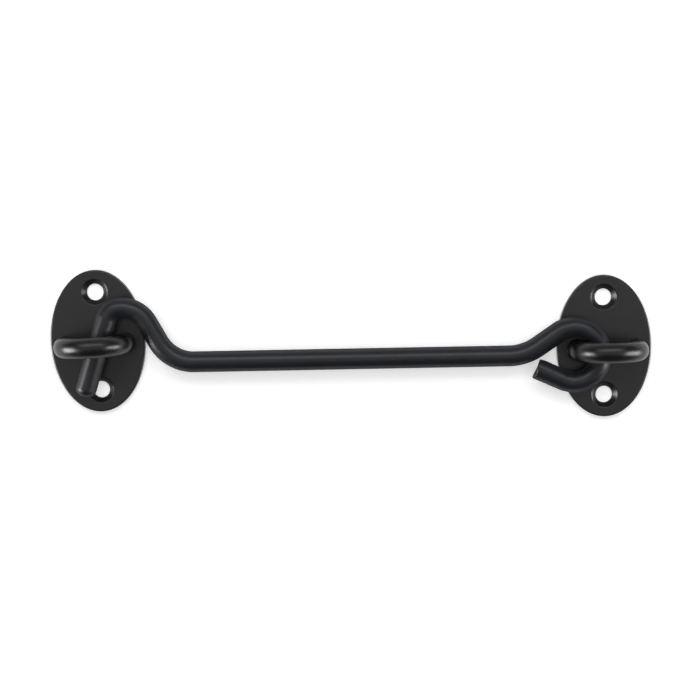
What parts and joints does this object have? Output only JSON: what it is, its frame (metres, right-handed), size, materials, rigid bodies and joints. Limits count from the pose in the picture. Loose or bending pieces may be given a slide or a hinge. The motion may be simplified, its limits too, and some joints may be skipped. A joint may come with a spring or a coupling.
{
  "type": "cabin hook",
  "caption": "Black cabin hook: a bent rod turns by its open eye on a stapled oval plate and drops its leg through the staple of a matching keeper plate.",
  "frame": {"origin": "middle of the eye plate's back face, between its screw holes", "axes": "+X from the keeper plate to the eye plate, +Y the way the hook lifts out of the keeper, +Z away from the surface the plates are screwed to"},
  "size_m": [0.19, 0.0502, 0.02],
  "materials": {
    "plate_coat": "satin",
    "staple_coat": "satin",
    "rod_coat": "satin"
  },
  "bodies": {
    "fixed_plates": {"eye_plate": "plate_coat", "eye_staple": "staple_coat", "keeper_plate": "plate_coat", "keeper_staple": "staple_coat"},
    "hook_arm": {"hook": "rod_coat"}
  },
  "joints": [
    {"name": "hook_swing", "type": "hinge", "parent": "fixed_plates", "child": "hook_arm", "pos_m": [-0.0088, -0.001, 0.0061], "axis": [0, 0, 1], "range_deg": [-160, 1.8]}
  ]
}
